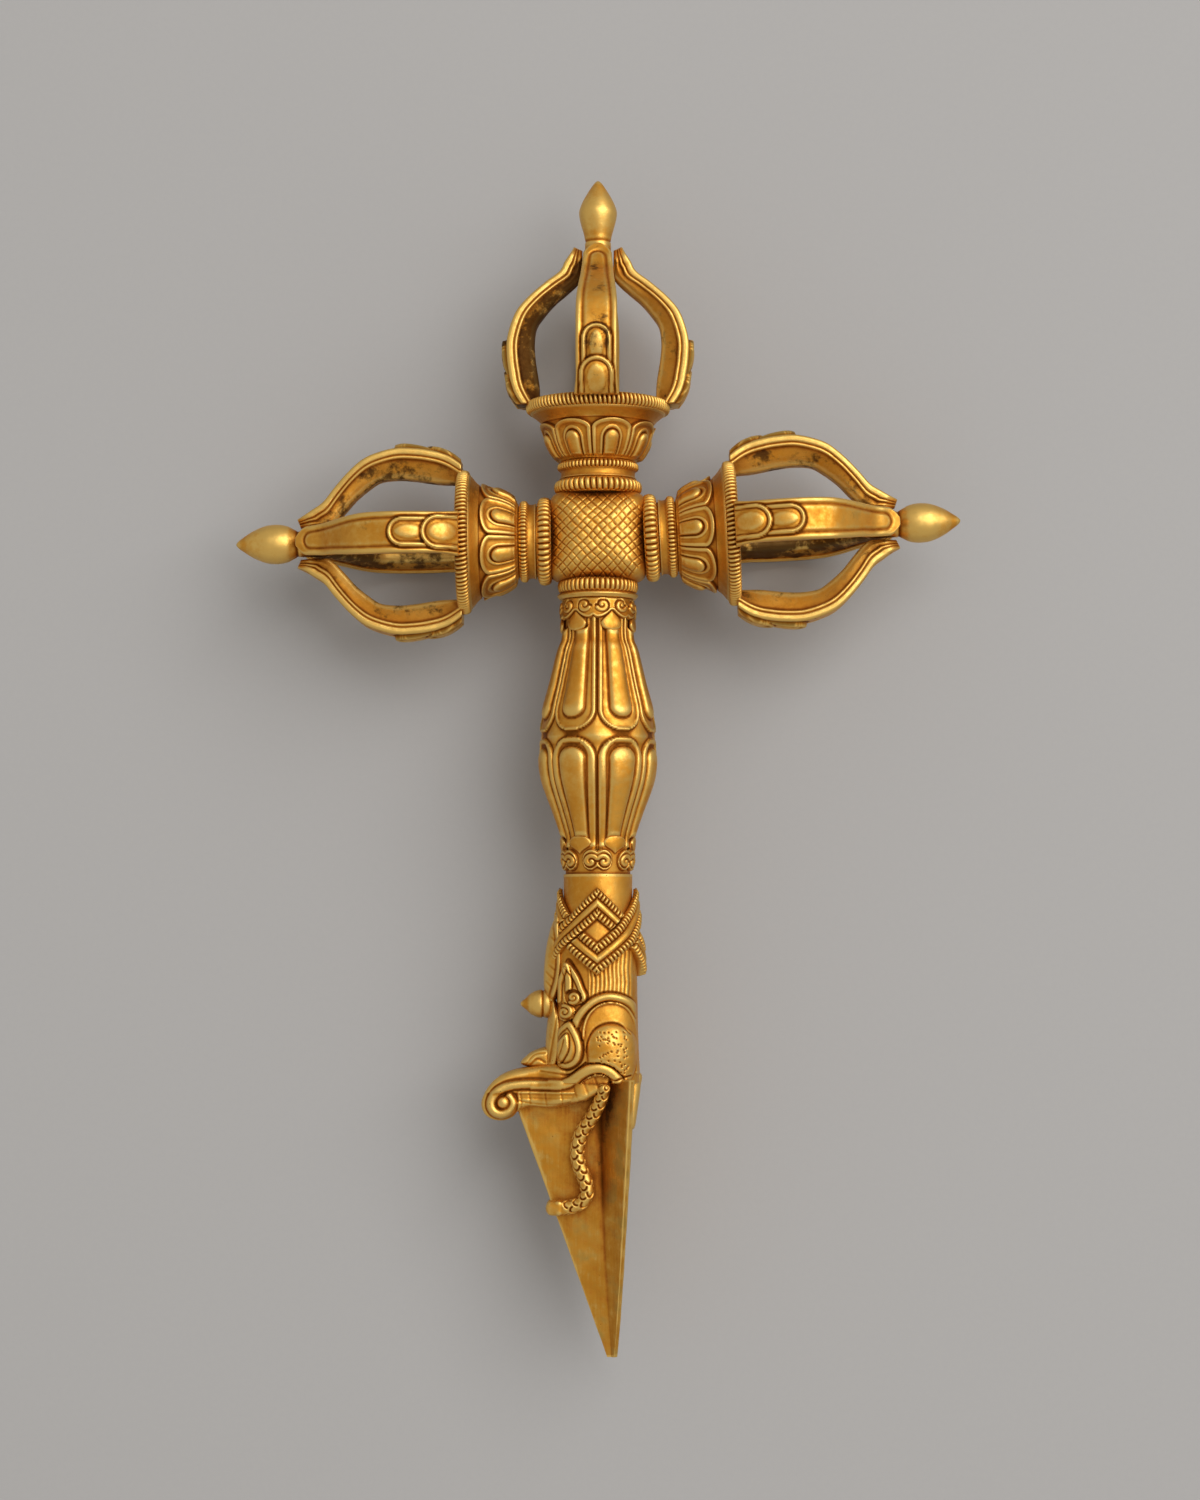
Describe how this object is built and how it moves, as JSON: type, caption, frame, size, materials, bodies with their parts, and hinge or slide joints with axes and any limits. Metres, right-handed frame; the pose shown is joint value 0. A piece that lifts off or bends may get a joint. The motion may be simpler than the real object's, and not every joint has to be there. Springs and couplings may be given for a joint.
{
  "type": "ritual dagger",
  "caption": "Phurba: gilt three-edged ritual dagger with a makara head, lotus grip and knot band, and a head of crossed vajras whose cages carry finial buds.",
  "frame": {"origin": "middle of the bounding box in plan, on the plane of the back prongs' outer faces, on which the dagger lies", "axes": "+Y along the long axis from the blade tip to the top finial, -X towards the makara's snout, +Z to the front of the picture's view"},
  "size_m": [0.1527, 0.2472, 0.0418],
  "materials": {
    "gilt_copper": "cast and chased copper alloy, fire gilt, burnished on the high places, orange-brown in the recesses",
    "worn_gilt_copper": "the same gilding, worn and patinated dark brown on the inner faces of the prongs",
    "pin_copper": "bare copper rod, dark with age"
  },
  "bodies": {
    "root": {"crossing_block": "gilt_copper", "top_ribbed_collar": "gilt_copper", "top_beaded_neck": "gilt_copper", "top_lotus_cup": "gilt_copper", "top_beaded_rim": "gilt_copper", "top_neck_pin": "pin_copper", "top_finial_spindle": "gilt_copper", "top_prong_front": "worn_gilt_copper", "top_prong_right": "worn_gilt_copper", "top_prong_back": "worn_gilt_copper", "top_prong_left": "worn_gilt_copper", "left_ribbed_collar": "gilt_copper", "left_beaded_neck": "gilt_copper", "left_lotus_cup": "gilt_copper", "left_beaded_rim": "gilt_copper", "left_neck_pin": "pin_copper", "left_finial_spindle": "gilt_copper", "left_prong_front": "worn_gilt_copper", "left_prong_upper": "worn_gilt_copper", "left_prong_back": "worn_gilt_copper", "left_prong_lower": "worn_gilt_copper", "right_ribbed_collar": "gilt_copper", "right_beaded_neck": "gilt_copper", "right_lotus_cup": "gilt_copper", "right_beaded_rim": "gilt_copper", "right_neck_pin": "pin_copper", "right_finial_spindle": "gilt_copper", "right_prong_front": "worn_gilt_copper", "right_prong_lower": "worn_gilt_copper", "right_prong_back": "worn_gilt_copper", "right_prong_upper": "worn_gilt_copper", "grip_ribbed_collar": "gilt_copper", "upper_cloud_collar": "gilt_copper", "lotus_grip": "gilt_copper", "lower_cloud_collar": "gilt_copper", "shaft_ferrule": "gilt_copper", "knot_band": "gilt_copper", "makara_head": "gilt_copper", "makara_forehead_crest": "gilt_copper", "makara_jewel_nub": "gilt_copper", "makara_trunk": "gilt_copper", "makara_lower_jaw": "gilt_copper", "blade": "gilt_copper", "serpent_front": "gilt_copper", "serpent_back": "gilt_copper"}
  },
  "joints": []
}
